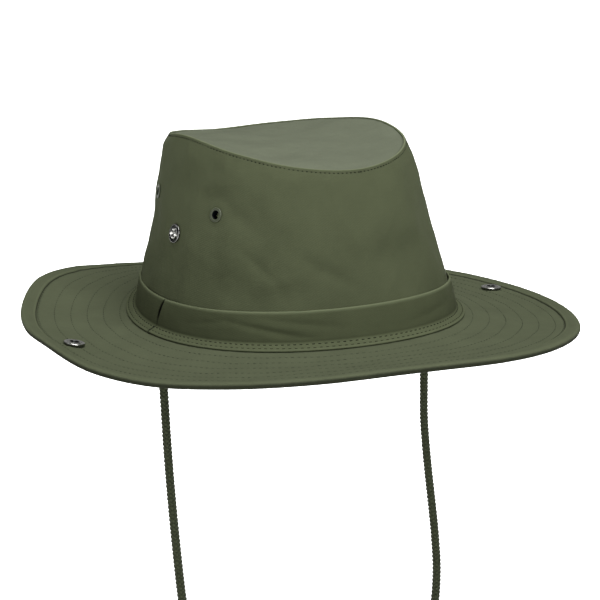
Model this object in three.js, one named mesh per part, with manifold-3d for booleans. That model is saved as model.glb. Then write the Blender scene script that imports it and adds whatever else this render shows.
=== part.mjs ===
// Bush hat in cotton drill: oval crown, folded hatband, wide soft brim, snaps, vent eyelets and a chin cord.
// Millimetres, +Z up. Front is -Y and the wearer's left is +X.
// The origin is the middle of the head opening, level with the foot of the hatband.
import * as THREE from 'three';
import { mergeVertices } from 'three/addons/utils/BufferGeometryUtils.js';
import Module from 'manifold-3d';

// Driving sizes
const GAP = 0.3;
const HEAD = { halfLength: 102.3, halfWidth: 86.2, saddle: 2.8, tilt: 0.9 };
const CLOTH = 1.5;
const BAND = { thickness: 1.2, height: 16, flangeWidth: 5.2, flangeFall: 3.3 };
const BAND_JOIN = { angle: -87, step: 0.8, spread: 16 };
const BRIM = { halfLength: 171.1, halfWidth: 154.1, forward: 4.9, corner: -0.012, thickness: 2.2 };
const BRIM_FOOT = { inset: 2.8, fall: 0.4 };
const BRIM_DISH = { inner: 9, front: 6, sides: 11 };
const RIM = { width: 8.5, thickness: 3.6, groove: 0.5, puff: 0.6 };
const TIP = { centreHeight: 90, thickness: 1.5, ditch: 0.9, puff: 0.5, puffShare: 0.88 };
const SEAM_RIDGE = 0.5;
const CORD_DIAMETER = 4.6;
const SNAP = { outer: 11.8, barrel: 3.6, hole: 4.4, back: 10.6, backThickness: 1, lift: 0.15 };
const EYELET = { outer: 8, hole: 4.3, barrel: 5.2, cutout: 5.8, back: 7.4 };
const TURN_STEPS = 72;
const BRIM_STEPS = 84;
const SNAP_SIDES = 14;
const EYELET_SIDES = 12;
const DRILL_SIDES = 12;
const DRILL_REACH = 16;
const CORD_STEPS = 52;

// The crown wall's outer face from its foot (share 0) to the tip seam (share 1)
const CROWN_LEVELS = [
  { share: 0.00, halfLength: 100.8, halfWidth: 84.7, setback: 0.0 },
  { share: 0.18, halfLength: 96.6, halfWidth: 81.4, setback: 0.6 },
  { share: 0.50, halfLength: 90.2, halfWidth: 73.9, setback: 3.0 },
  { share: 0.80, halfLength: 84.9, halfWidth: 67.3, setback: 5.6 },
  { share: 0.93, halfLength: 82.0, halfWidth: 63.6, setback: 6.7 },
  { share: 1.00, halfLength: 79.2, halfWidth: 60.7, setback: 7.2 },
];

// Heights round the hat. Angles run from the front (0) past the wearer's left (90) to the back (180)
const TIP_EDGE = [
  { angle: 0, height: 86.7 },
  { angle: 30, height: 89.0 },
  { angle: 60, height: 92.8 },
  { angle: 90, height: 95.6 },
  { angle: 120, height: 91.4 },
  { angle: 150, height: 87.4 },
  { angle: 180, height: 84.8 },
  { angle: 210, height: 87.8 },
  { angle: 240, height: 94.2 },
  { angle: 270, height: 98.6 },
  { angle: 300, height: 94.4 },
  { angle: 330, height: 89.1 },
];
const BRIM_EDGE = [
  { angle: 0, height: 5.4 },
  { angle: 30, height: -1.2 },
  { angle: 60, height: -9.6 },
  { angle: 90, height: -15.8 },
  { angle: 120, height: -17.6 },
  { angle: 150, height: -18.3 },
  { angle: 175, height: -15.0 },
  { angle: 195, height: -7.5 },
  { angle: 215, height: -1.2 },
  { angle: 240, height: -2.6 },
  { angle: 268, height: -1.0 },
  { angle: 284, height: -5.2 },
  { angle: 298, height: -4.9 },
  { angle: 313, height: -1.4 },
  { angle: 331, height: 3.0 },
  { angle: 346, height: 6.0 },
];

// Soft dimples and drag folds of the crown wall: depth is inward, level is a share of the wall's height
const DIMPLES = [
  { name: 'shoulder hollow', angle: -70, level: 0.83, halfAngle: 17, halfLevel: 0.13, depth: 1.1 },
  { name: 'hollow over the band', angle: -48, level: 0.27, halfAngle: 15, halfLevel: 0.10, depth: 1.3 },
  { name: 'front hollow', angle: 4, level: 0.45, halfAngle: 20, halfLevel: 0.16, depth: 1.5 },
  { name: 'left front hollow', angle: 42, level: 0.66, halfAngle: 16, halfLevel: 0.14, depth: 1.2 },
  { name: 'right back shoulder', angle: -116, level: 0.88, halfAngle: 22, halfLevel: 0.16, depth: 1.0 },
  { name: 'right back hollow', angle: -128, level: 0.42, halfAngle: 18, halfLevel: 0.18, depth: 1.4 },
  { name: 'left back hollow', angle: 126, level: 0.38, halfAngle: 20, halfLevel: 0.18, depth: 1.4 },
];

// Soft dips of the brim: share runs from the foot of the crown to the edge
const BRIM_DIPS = [
  { name: 'dip by the right snap', angle: -88, share: 0.73, halfAngle: 16, halfShare: 0.27, depth: 2.3 },
];

// Hardware places
const CROWN_HARDWARE = {
  snap: { angle: 87.6, level: 0.5 },
  eyelet_front: { angle: 66.2, level: 0.662 },
  eyelet_back: { angle: 110.2, level: 0.68 },
};
const BRIM_SNAP = { angle: 91.6, share: 0.745 };

// Route of the chin cord from the right foot of the crown, down and round under the chin, to the left foot
const CORD_ROUTE = [
  [-87.0, -5.0, -8.2], [-87.0, -6.0, -25], [-87.0, -7.4, -45], [-87.0, -8.9, -67],
  [-87.0, -10.9, -88], [-87.0, -13.8, -111], [-86.9, -17.0, -133], [-86.4, -20.0, -155],
  [-84.8, -22.8, -177], [-81.0, -25.2, -199], [-73.5, -27.2, -219], [-61.5, -28.8, -237],
  [-45.0, -29.8, -251], [-24.0, -30.4, -260], [0.0, -30.4, -263], [24.0, -29.8, -260],
  [45.0, -28.4, -251], [61.5, -26.4, -237], [73.5, -23.8, -219], [81.0, -20.8, -199],
  [85.2, -17.4, -177], [86.9, -13.0, -156], [87.2, -9.2, -137], [87.0, -5.8, -118],
  [87.0, -2.8, -100], [87.1, -0.9, -84], [87.2, -0.8, -67], [87.1, -1.4, -45],
  [87.0, -1.8, -25], [87.0, -2.0, -8.2],
];

const COLOURS = { cloth: 0x626b4f, nickel: 0xb9bbb8, paint: 0x4a5240, braid: 0x3f4630 };

const radians = (degrees) => (degrees * Math.PI) / 180;
const between = (from, to, share) => from + (to - from) * share;

// A smooth curve through one column of a table, given as rows sorted by a key
function hermite(before, from, to, after, key, column, place) {
  const span = to[key] - from[key];
  const share = (place - from[key]) / span;
  const slopeFrom = ((to[column] - before[column]) / (to[key] - before[key])) * span;
  const slopeTo = ((after[column] - from[column]) / (after[key] - from[key])) * span;
  const square = share * share;
  const cube = square * share;
  return (2 * cube - 3 * square + 1) * from[column] + (cube - 2 * square + share) * slopeFrom
    + (3 * square - 2 * cube) * to[column] + (cube - square) * slopeTo;
}

function roundTable(rows, column, degrees) {
  const place = ((degrees % 360) + 360) % 360;
  const count = rows.length;
  const shifted = (index) => {
    const row = rows[((index % count) + count) % count];
    return { angle: row.angle + 360 * Math.floor(index / count), [column]: row[column] };
  };
  let index = count - 1;
  while (index >= 0 && rows[index].angle > place) index -= 1;
  const rowsNear = [index - 1, index, index + 1, index + 2].map(shifted);
  return hermite(...rowsNear, 'angle', column, place);
}

function upTable(rows, column, share) {
  let index = 0;
  while (index < rows.length - 2 && rows[index + 1].share < share) index += 1;
  const rowAt = (near) => rows[Math.min(Math.max(near, 0), rows.length - 1)];
  return hermite(rowAt(index - 1), rowAt(index), rowAt(index + 1), rowAt(index + 2), 'share', column, share);
}

// An oval level of the hat
function oval(degrees, halfLength, halfWidth, setback, height) {
  const turn = radians(degrees);
  return new THREE.Vector3(halfWidth * Math.sin(turn), setback - halfLength * Math.cos(turn), height);
}

function footHeight(degrees) {
  return HEAD.saddle * Math.cos(radians(2 * degrees)) + HEAD.tilt * Math.cos(radians(degrees));
}

const tipHeight = (degrees) => roundTable(TIP_EDGE, 'height', degrees);

const turnFrom = (start, degrees) => ((((degrees - start) % 360) + 540) % 360) - 180;

// How far a soft hollow presses in, fading out round its middle
function softDepth(hollow, turn, away) {
  const across = turn / hollow.halfAngle;
  return hollow.depth * Math.exp(-across * across - away * away);
}

function dimpleDepth(degrees, share) {
  let depth = 0;
  for (const dimple of DIMPLES) {
    const away = (share - dimple.level) / dimple.halfLevel;
    depth += softDepth(dimple, turnFrom(dimple.angle, degrees), away);
  }
  return depth;
}

function dipDepth(degrees, share) {
  let depth = 0;
  for (const dip of BRIM_DIPS) {
    const away = (share - dip.share) / dip.halfShare;
    depth += softDepth(dip, turnFrom(dip.angle, degrees), away * away);
  }
  return depth;
}

// A point of the crown wall, `outward` of its outer face
function wallPoint(degrees, share, outward = 0) {
  const grown = outward - dimpleDepth(degrees, share);
  return oval(
    degrees,
    upTable(CROWN_LEVELS, 'halfLength', share) + grown,
    upTable(CROWN_LEVELS, 'halfWidth', share) + grown,
    upTable(CROWN_LEVELS, 'setback', share),
    between(footHeight(degrees), tipHeight(degrees), share),
  );
}

function outwardFrom(surface, degrees, share) {
  const step = 0.01;
  const round = surface(degrees + 1, share).sub(surface(degrees - 1, share));
  const along = surface(degrees, share + step).sub(surface(degrees, share - step));
  return round.cross(along).normalize();
}

// A closed band round the hat: the section at each angle is a closed loop of points
function ringGeometry(angles, section) {
  const loops = angles.map(section);
  const size = loops[0].length;
  const positions = [];
  for (const loop of loops) for (const point of loop) positions.push(point.x, point.y, point.z);
  const index = [];
  for (let turn = 0; turn < angles.length; turn += 1) {
    const next = (turn + 1) % angles.length;
    for (let place = 0; place < size; place += 1) {
      const after = (place + 1) % size;
      const corner = [turn * size + place, next * size + place, next * size + after, turn * size + after];
      index.push(corner[0], corner[1], corner[2], corner[0], corner[2], corner[3]);
    }
  }
  return indexedGeometry(positions, index);
}

function indexedGeometry(positions, index) {
  const geometry = new THREE.BufferGeometry();
  geometry.setAttribute('position', new THREE.Float32BufferAttribute(positions, 3));
  geometry.setIndex(index);
  return geometry;
}

const evenAngles = (count) => Array.from({ length: count }, (_, index) => (360 * index) / count);

// Crown wall

const wallFootShare = (degrees) => {
  const height = brimTop(degrees, 0).z + GAP;
  return (height - footHeight(degrees)) / (tipHeight(degrees) - footHeight(degrees));
};

function crownSideSection(degrees) {
  const foot = wallFootShare(degrees);
  const outerShares = [foot, 0.12, 0.27, 0.42, 0.57, 0.72, 0.85, 0.93, 0.985];
  const outer = outerShares.map((share) => wallPoint(degrees, share));
  const ridge = wallPoint(degrees, 1, -CLOTH / 2).add(new THREE.Vector3(0, 0, SEAM_RIDGE));
  const innerShares = [0.985, 0.9, 0.72, 0.45, 0.2, foot];
  const inner = innerShares.map((share) => wallPoint(degrees, share, -CLOTH));
  return [...outer, ridge, ...inner];
}

// Brim

function brimPlan(degrees, share) {
  const square = 1 + (BRIM.corner * share * (1 - Math.cos(radians(4 * degrees)))) / 2;
  const footLength = HEAD.halfLength - BRIM_FOOT.inset;
  const footWidth = HEAD.halfWidth - BRIM_FOOT.inset;
  return oval(
    degrees,
    between(footLength, BRIM.halfLength, share) * square,
    between(footWidth, BRIM.halfWidth, share) * square,
    -BRIM.forward * share,
    0,
  );
}

const brimWidth = (degrees) => brimPlan(degrees, 1).distanceTo(brimPlan(degrees, 0));
const flangeShare = (degrees) => (BAND.flangeWidth + BRIM_FOOT.inset) / brimWidth(degrees);

// The brim's upper face without its rim: it falls away under the flange, then dishes out to the edge
function brimTop(degrees, share) {
  const point = brimPlan(degrees, share);
  const foot = footHeight(degrees) - BRIM_FOOT.fall;
  const flange = footHeight(degrees) - BAND.flangeFall - GAP;
  const edge = roundTable(BRIM_EDGE, 'height', degrees) + RIM.thickness / 3;
  const under = flangeShare(degrees);
  if (share <= under) {
    point.z = between(foot, flange, share / under);
    return point;
  }
  const along = (share - under) / (1 - under);
  const outer = between(BRIM_DISH.front, BRIM_DISH.sides, Math.sin(radians(degrees)) ** 2);
  const dish = BRIM_DISH.inner * along * (1 - along) ** 2 + outer * along * along * (1 - along);
  point.z = between(flange, edge, along) - dish - dipDepth(degrees, share);
  return point;
}

function brimSection(degrees) {
  const width = brimWidth(degrees);
  const fromEdge = (distance) => 1 - distance / width;
  const at = (share, rise) => brimTop(degrees, share).add(new THREE.Vector3(0, 0, rise));
  const flat = -BRIM.thickness;
  const grooveBottom = -BRIM.thickness + RIM.groove * 0.4;
  const underRim = RIM.puff - RIM.thickness;
  return [
    at(0, 0),
    at(flangeShare(degrees), 0),
    at(0.3, 0),
    at(0.52, 0),
    at(0.66, 0),
    at(0.745, 0),
    at(fromEdge(RIM.width), -RIM.groove),
    at(fromEdge(RIM.width * 0.72), RIM.puff * 0.7),
    at(fromEdge(RIM.width * 0.3), RIM.puff),
    at(fromEdge(0), RIM.puff - RIM.thickness * 0.45),
    at(fromEdge(RIM.thickness * 0.2), underRim * 0.75),
    at(fromEdge(RIM.width * 0.36), underRim),
    at(fromEdge(RIM.width), grooveBottom),
    at(0.54, flat),
    at(flangeShare(degrees), flat),
    at(0, flat),
  ];
}

// Hatband: a folded strip up the wall, its foot flared out on the brim

// The upper end laps over the lower one: a step at the join that eases away behind it
function lapStep(degrees) {
  const past = turnFrom(BAND_JOIN.angle, degrees);
  return past >= 0 && past < BAND_JOIN.spread ? BAND_JOIN.step * (1 - past / BAND_JOIN.spread) : 0;
}

function hatbandSection(degrees) {
  const wallHeight = tipHeight(degrees) - footHeight(degrees);
  const face = GAP + BAND.thickness + lapStep(degrees);
  const up = (height, outward) => wallPoint(degrees, height / wallHeight, outward);
  const under = flangeShare(degrees);
  const onBrim = (share, rise) => brimTop(degrees, share).add(new THREE.Vector3(0, 0, rise));
  const crease = BRIM_FOOT.inset / brimWidth(degrees);
  return [
    onBrim(under * 0.985, GAP),
    onBrim(under, GAP + BAND.thickness * 0.6),
    onBrim(under * 0.96, face),
    onBrim(between(crease, under, 0.45), face * 1.05),
    up(0.6, face),
    up(6, face + 0.1),
    up(12, face),
    up(BAND.height - 0.6, face - 0.1),
    up(BAND.height, GAP + BAND.thickness / 2),
    up(BAND.height - 0.6, GAP),
    up(8.5, GAP),
    up(1.4, GAP),
    onBrim(crease * 0.75, GAP),
  ];
}

const bandAngles = () => {
  const sharp = 0.25;
  const angles = evenAngles(TURN_STEPS).map((angle) => angle + BAND_JOIN.angle);
  return [...angles, BAND_JOIN.angle + 360 - sharp];
};

// Crown top: a dished oval panel inside the seam ridge

function tipPoint(degrees, share) {
  const levels = CROWN_LEVELS[CROWN_LEVELS.length - 1];
  const inset = CLOTH + GAP + 0.15;
  const edge = tipHeight(degrees) - TIP.ditch;
  const roll = Math.exp(-(((share - TIP.puffShare) / 0.09) ** 2));
  const height = between(TIP.centreHeight, edge, share * share) + TIP.puff * roll;
  const halfLength = (levels.halfLength - inset) * share;
  const halfWidth = (levels.halfWidth - inset) * share;
  return oval(degrees, halfLength, halfWidth, levels.setback, height);
}

function crownTopGeometry() {
  const angles = evenAngles(TURN_STEPS);
  const shares = [0.4, 0.7, 0.88, 0.96, 1];
  const under = [1, 0.6];
  const positions = [];
  const push = (point, fall) => positions.push(point.x, point.y, point.z - fall);
  for (const share of shares) for (const angle of angles) push(tipPoint(angle, share), 0);
  for (const share of under) for (const angle of angles) push(tipPoint(angle, share), TIP.thickness);
  const rings = shares.length + under.length;
  const topCentre = rings * angles.length;
  push(tipPoint(0, 0), 0);
  push(tipPoint(0, 0), TIP.thickness);
  const index = [];
  const at = (ring, turn) => ring * angles.length + (turn % angles.length);
  for (let turn = 0; turn < angles.length; turn += 1) {
    index.push(topCentre, at(0, turn), at(0, turn + 1));
    index.push(topCentre + 1, at(rings - 1, turn + 1), at(rings - 1, turn));
    for (let ring = 0; ring < rings - 1; ring += 1) {
      index.push(at(ring, turn), at(ring + 1, turn), at(ring + 1, turn + 1));
      index.push(at(ring, turn), at(ring + 1, turn + 1), at(ring, turn + 1));
    }
  }
  return indexedGeometry(positions, index);
}

// Hardware: turned shapes, each one solid with its post through the cloth and its plain back cap

function turned(profile, sides) {
  const points = profile.map(([radius, height]) => new THREE.Vector2(radius, height));
  return new THREE.LatheGeometry(points, sides);
}

function socketGeometry(cloth) {
  const face = GAP + SNAP.lift;
  const back = -cloth - GAP;
  return turned([
    [0, back - SNAP.backThickness], [SNAP.back / 2 - 0.4, back - SNAP.backThickness],
    [SNAP.back / 2, back - 0.5], [SNAP.back / 2 - 0.1, back], [SNAP.barrel / 2, back],
    [SNAP.barrel / 2, face], [SNAP.outer / 2 - 0.2, face], [SNAP.outer / 2, face + 0.5],
    [SNAP.outer / 2 - 0.8, face + 1.1], [4.2, face + 1.0], [3.5, face + 2.0],
    [2.2, face + 1.8], [2.1, face + 0.4], [0, face + 0.4],
  ], SNAP_SIDES);
}

function studGeometry(cloth) {
  const face = GAP;
  const back = -cloth - GAP;
  return turned([
    [0, back - SNAP.backThickness], [SNAP.back / 2 - 0.4, back - SNAP.backThickness],
    [SNAP.back / 2, back - 0.5], [SNAP.back / 2 - 0.1, back], [SNAP.barrel / 2, back],
    [SNAP.barrel / 2, face], [5.3, face], [5.5, face + 0.5], [4.9, face + 1.0], [4.1, face + 0.6],
    [2.3, face + 0.7], [1.9, face + 1.4], [2.2, face + 2.2], [1.6, face + 2.8], [0, face + 3.0],
  ], SNAP_SIDES);
}

function eyeletGeometry(cloth) {
  const face = GAP;
  const back = -cloth - GAP;
  const hole = EYELET.hole / 2;
  const barrel = EYELET.barrel / 2;
  return turned([
    [hole, back - 0.5], [hole + 0.5, back - 0.9], [EYELET.back / 2, back - 0.5], [EYELET.back / 2, back],
    [barrel, back], [barrel, face], [EYELET.outer / 2, face],
    [EYELET.outer / 2 - 0.3, face + 0.8], [hole + 0.5, face + 0.9], [hole, face + 0.3], [hole, back - 0.5],
  ], EYELET_SIDES);
}

// The frame on a cloth face that a piece of hardware sits in, its own +Y outward
function seat(surface, degrees, share) {
  const place = new THREE.Object3D();
  place.position.copy(surface(degrees, share));
  place.quaternion.setFromUnitVectors(new THREE.Vector3(0, 1, 0), outwardFrom(surface, degrees, share));
  place.updateMatrixWorld(true);
  return place;
}

// Cutting the holes that posts and barrels pass through

const wasm = await Module();
wasm.setup();

function solidOf(geometry) {
  const bare = new THREE.BufferGeometry();
  bare.setAttribute('position', geometry.getAttribute('position').clone());
  if (geometry.index) bare.setIndex(geometry.index.clone());
  const merged = mergeVertices(bare, 1e-4);
  const vertProperties = new Float32Array(merged.getAttribute('position').array);
  const triVerts = new Uint32Array(merged.index.array);
  return new wasm.Manifold(new wasm.Mesh({ numProp: 3, vertProperties, triVerts }));
}

function geometryOf(solid) {
  const mesh = solid.getMesh();
  return indexedGeometry(Array.from(mesh.vertProperties), Array.from(mesh.triVerts));
}

function drilled(geometry, drills) {
  let solid = solidOf(geometry);
  for (const { place, diameter } of drills) {
    const drill = new THREE.CylinderGeometry(diameter / 2, diameter / 2, DRILL_REACH, DRILL_SIDES);
    drill.applyMatrix4(place.matrixWorld);
    solid = solid.subtract(solidOf(drill));
  }
  return geometryOf(solid);
}

// Chin cord: a round cord along its route

function cordGeometry() {
  const points = CORD_ROUTE.map((point) => new THREE.Vector3(...point));
  const route = new THREE.CatmullRomCurve3(points, false, 'centripetal');
  const section = new THREE.Shape();
  section.absarc(0, 0, CORD_DIAMETER / 2, 0, 2 * Math.PI, false);
  const options = { steps: CORD_STEPS, curveSegments: 4, bevelEnabled: false, extrudePath: route };
  return new THREE.ExtrudeGeometry(section, options);
}

// Assembly

function finish(color, roughness, metalness) {
  return new THREE.MeshStandardMaterial({ color, roughness, metalness });
}

const clothMaterial = () => finish(COLOURS.cloth, 0.9, 0);
const braidMaterial = () => finish(COLOURS.braid, 0.85, 0);
const nickelMaterial = () => finish(COLOURS.nickel, 0.25, 1);
const paintMaterial = () => finish(COLOURS.paint, 0.45, 0.3);

const group = new THREE.Group();

function addPiece(name, geometry, material, place = null) {
  const mesh = new THREE.Mesh(geometry, material);
  mesh.name = name;
  if (place) {
    mesh.position.copy(place.position);
    mesh.quaternion.copy(place.quaternion);
  }
  group.add(mesh);
}

const SIDES = [{ name: 'right', sign: -1 }, { name: 'left', sign: 1 }];
const wallFace = (degrees, share) => wallPoint(degrees, share);
const brimFace = (degrees, share) => brimTop(-degrees, share);
const wallDrills = [];
const brimDrills = [];

for (const side of SIDES) {
  const snapPlace = seat(wallFace, side.sign * CROWN_HARDWARE.snap.angle, CROWN_HARDWARE.snap.level);
  wallDrills.push({ place: snapPlace, diameter: SNAP.hole });
  addPiece(`crown_snap_${side.name}`, studGeometry(CLOTH), nickelMaterial(), snapPlace);
  for (const end of ['front', 'back']) {
    const spot = CROWN_HARDWARE[`eyelet_${end}`];
    const eyeletPlace = seat(wallFace, side.sign * spot.angle, spot.level);
    wallDrills.push({ place: eyeletPlace, diameter: EYELET.cutout });
    addPiece(`eyelet_${side.name}_${end}`, eyeletGeometry(CLOTH), paintMaterial(), eyeletPlace);
  }
  const brimPlace = seat(brimFace, -side.sign * BRIM_SNAP.angle, BRIM_SNAP.share);
  brimDrills.push({ place: brimPlace, diameter: SNAP.hole });
  addPiece(`brim_snap_${side.name}`, socketGeometry(BRIM.thickness), nickelMaterial(), brimPlace);
}

addPiece('crown_top', crownTopGeometry(), clothMaterial());
const wallRing = ringGeometry(evenAngles(TURN_STEPS), crownSideSection);
addPiece('crown_side', drilled(wallRing, wallDrills), clothMaterial());
addPiece('hatband', ringGeometry(bandAngles(), hatbandSection), clothMaterial());
const brimRing = ringGeometry(evenAngles(BRIM_STEPS), (degrees) => brimSection(degrees).reverse());
addPiece('brim', drilled(brimRing, brimDrills), clothMaterial());
addPiece('chin_cord', cordGeometry(), braidMaterial());

export default group;
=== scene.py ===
"""A bush hat in olive cotton drill, held up as if worn, with snaps, painted eyelets and a braided cord."""
import math

import bmesh
import bpy
import numpy as np
from mathutils import Matrix, Vector


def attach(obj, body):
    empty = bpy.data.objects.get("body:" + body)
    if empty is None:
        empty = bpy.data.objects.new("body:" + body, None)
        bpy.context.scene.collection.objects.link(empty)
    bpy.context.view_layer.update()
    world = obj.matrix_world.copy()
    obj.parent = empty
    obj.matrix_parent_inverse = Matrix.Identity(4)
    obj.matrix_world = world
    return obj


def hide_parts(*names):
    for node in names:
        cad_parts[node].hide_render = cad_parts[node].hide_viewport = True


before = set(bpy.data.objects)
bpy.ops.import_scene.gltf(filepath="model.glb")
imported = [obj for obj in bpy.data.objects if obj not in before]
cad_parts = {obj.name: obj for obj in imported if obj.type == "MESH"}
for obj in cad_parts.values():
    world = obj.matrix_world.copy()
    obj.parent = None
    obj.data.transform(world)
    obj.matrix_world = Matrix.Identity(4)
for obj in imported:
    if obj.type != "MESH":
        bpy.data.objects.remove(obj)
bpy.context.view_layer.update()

MM = 0.001
TAU = 2 * math.pi
rng = np.random.default_rng(7)

# Sizes of the hat, in millimetres. Front is -Y and the wearer's left is +X
HEAD_LENGTH, HEAD_WIDTH = 102.3, 86.2
FOOT_SADDLE, FOOT_TILT = 2.8, 0.9
CLOTH, GAP = 1.5, 0.3
SEAM_RIDGE, SEAM_ROW = 0.5, 1.0
BAND_THICKNESS, BAND_HEIGHT = 1.2, 16.0
BAND_AIR = 0.25
FLANGE_WIDTH, FLANGE_FALL = 5.2, 3.3
JOIN_ANGLE, JOIN_SLANT, JOIN_LAP, JOIN_SPREAD, JOIN_LIFT = -87.0, -3.6, 7.0, 9.0, 0.55
JOIN_MOUTH = JOIN_ANGLE + 360
SLIT_ENDS, SLIT_BULGE = 0.3, 1.7
TUCK_DEPTH, TUCK_DROP, TUCK_NARROW = 0.22, 0.12, 0.06
BRIM_LENGTH, BRIM_WIDTH, BRIM_FORWARD = 171.1, 154.1, 4.9
BRIM_CORNER, BRIM_THICKNESS = -0.012, 2.2
BRIM_INSET, BRIM_FOOT_FALL = 2.8, 0.4
DISH_INNER, DISH_FRONT, DISH_SIDES = 9.0, 6.0, 11.0
RIM_WIDTH, RIM_THICKNESS, RIM_REACH, GROOVE_ROW = 8.5, 3.6, 10.6, 9.35
STITCH_PITCH, STITCH_SHARE = 2.4, 0.5
BRIM_STITCH_PITCH, FLANGE_STITCH_PITCH = 3.4, 3.3
FLANGE_STITCH_SPAN = (JOIN_ANGLE + JOIN_SLANT + 0.6, JOIN_ANGLE + JOIN_SLANT + 359.4)
SPIRAL_PITCH, SPIRAL_START_ANGLE, SPIRAL_LEAD, SPIRAL_END = 9.2, -165.0, 25, 9.5
TIP_CENTRE, TIP_DITCH, TIP_THICKNESS, TIP_OVERLAP = 90.0, 0.35, 1.2, 0.05
TIP_PUFF, TIP_PUFF_SHARE, TIP_PUFF_HALF = 0.4, 0.88, 0.09
CORD_DIAMETER, BRAID_PITCH, BRAID_STRANDS, BRAID_FACE = 4.6, 9.6, 4, -30.0
STRAND_WIDE, STRAND_DEEP, STRAND_SWAY, STRAND_GIRTH = 1.1, 0.74, 0.42, 6.6
BRAID_STEP, PATH_STEP = 0.42, 6.0
SNAP_LIFT, EYELET_HOLE, EYELET_BORE = 0.15, 5.6, 2.15

# Radii that turn an angle into a length of cloth, and the reach of the flat cloth round the hardware
WALL_RADIUS, BAND_RADIUS, CALM_REACH = 86, 92, 8.0

# The share of the lap's lift that the flange takes, the brim's cloth grain in radians, the lobes' polish and
# painted light
FLANGE_LIFT, BRIM_GRAIN, LOBE_PAINTED_LIGHT = 0.45, 0.35, 1.1

# Shares of the waves' heights: the soft ones on the brim, the fine ones on the brim and the band
SOFT_SHARE, FINE_SHARE = 0.45, 0.6

# The crown wall's outer face: share of its height, half length, half width, setback
CROWN_LEVELS = np.array([
    (0.00, 100.8, 84.7, 0.0),
    (0.18, 96.6, 81.4, 0.6),
    (0.50, 90.2, 73.9, 3.0),
    (0.80, 84.9, 67.3, 5.6),
    (0.93, 82.0, 63.6, 6.7),
    (1.00, 79.2, 60.7, 7.2),
])

# Heights round the hat: angle from the front past the wearer's left, height
TIP_EDGE = np.array([
    (0, 86.7), (30, 89.0), (60, 92.8), (90, 95.6), (120, 91.4), (150, 86.7),
    (180, 84.5), (210, 88.3), (240, 93.5), (270, 98.6), (300, 94.4), (330, 89.1),
])
BRIM_EDGE = np.array([
    (0, 5.4), (30, -2.3), (60, -10.9), (90, -15.1), (120, -16.0),
    (150, -17.1), (175, -14.8), (195, -8.2), (211, -1.1), (226, 2.2), (242, -1.8),
    (256, -2.2), (269, -0.6), (284, -4.9), (298, -5.4), (313, -2.0), (331, 2.8), (346, 6.0),
])

# Soft hollows: angle, level or share, half angle, half level, depth. A negative depth swells out
DIMPLES = [
    (-70, 0.83, 17, 0.13, 1.1),
    (-48, 0.27, 15, 0.10, 1.3),
    (4, 0.45, 20, 0.16, 1.5),
    (42, 0.66, 16, 0.14, 1.2),
    (-116, 0.88, 22, 0.16, 1.0),
    (-128, 0.42, 18, 0.18, 1.4),
    (126, 0.38, 20, 0.18, 1.4),
    (60, 0.55, 24, 1.2, -1.1),
    (-122, 0.36, 15, 0.13, -2.2),
    (-119, 0.54, 12, 0.09, 1.4),
    (-119, 0.88, 12, 0.13, -1.5),
    (60, 1.0, 16, 0.08, -0.6),
    (-119, 1.0, 10, 0.035, 1.2),
    (-121, 0.945, 15, 0.045, -0.8),
]
BRIM_DIPS = [(-88, 0.73, 16, 0.27, 2.3)]

# Folds of the band and the wall: angle, height, slope, half width, depth (negative swells), half length
BAND_CREASES = [
    (-42, 6.0, 0.30, 1.7, 0.75, 14),
    (-31, 9.5, 0.20, 1.9, 0.50, 12),
    (-64, 9.0, -0.20, 1.8, 0.30, 8),
    (24, 6.0, -0.14, 2.2, 0.35, 14),
    (150, 7.0, 0.20, 2.0, 0.40, 16),
    (-140, 8.0, -0.20, 2.0, 0.40, 15),
    (95, 7.5, 0.18, 2.0, 0.35, 12),
]
WALL_CREASES = [
    (-20, 33.0, 0.75, 4.5, 0.95, 12),
    (-47, 38.0, 1.10, 3.5, 0.6, 7),
    (-38, 30.0, -0.25, 4.0, -0.6, 9),
    (-62, 66.0, 0.60, 5.5, 1.25, 12),
    (-68, 80.0, -0.15, 5.5, -1.1, 9),
    (-12, 62.0, 3.20, 9.0, -0.6, 7),
    (18, 40.0, -0.70, 5.0, 0.45, 12),
    (30, 74.0, 0.40, 5.0, 0.35, 12),
    (75, 52.0, 0.60, 5.0, 0.45, 12),
    (120, 60.0, -0.50, 5.5, 0.50, 14),
    (150, 35.0, 0.60, 5.0, 0.45, 12),
    (-155, 58.0, 0.50, 5.5, 0.50, 13),
    (-112, 40.0, -0.60, 5.0, 0.45, 11),
]

# Places of the hardware: angle each side of the front, level on the wall or share of the brim
CROWN_SNAP = (87.6, 0.5)
EYELETS = {"front": (66.2, 0.662), "back": (110.2, 0.68)}
BRIM_SNAP = (91.6, 0.745)

# Route of the chin cord: x, y, z
CORD_ROUTE = np.array([
    (-87.0, -5.0, -8.2), (-87.0, -6.0, -25), (-87.0, -7.4, -45), (-87.0, -8.9, -67),
    (-87.0, -10.9, -88), (-87.0, -13.8, -111), (-86.9, -17.0, -133), (-86.4, -20.0, -155),
    (-84.8, -22.8, -177), (-81.0, -25.2, -199), (-73.5, -27.2, -219), (-61.5, -28.8, -237),
    (-45.0, -29.8, -251), (-24.0, -30.4, -260), (0.0, -30.4, -263), (24.0, -29.8, -260),
    (45.0, -28.4, -251), (61.5, -26.4, -237), (73.5, -23.8, -219), (81.0, -20.8, -199),
    (85.2, -17.4, -177), (86.9, -13.0, -156), (87.2, -9.2, -137), (87.0, -5.8, -118),
    (87.0, -2.8, -100), (87.1, -0.9, -84), (87.2, -0.8, -67), (87.1, -1.4, -45),
    (87.0, -1.8, -25), (87.0, -2.0, -8.2),
])

# The camera: the photograph's angle, in degrees and metres
CAMERA_AZIMUTH, CAMERA_ELEVATION, CAMERA_ROLL = -29.79, 14.886, -0.964
CAMERA_DISTANCE, CAMERA_LENS, CAMERA_SENSOR = 1.28, 135.6, 36
CAMERA_AIM = (0.00314, -0.0018, -0.00066)

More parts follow.
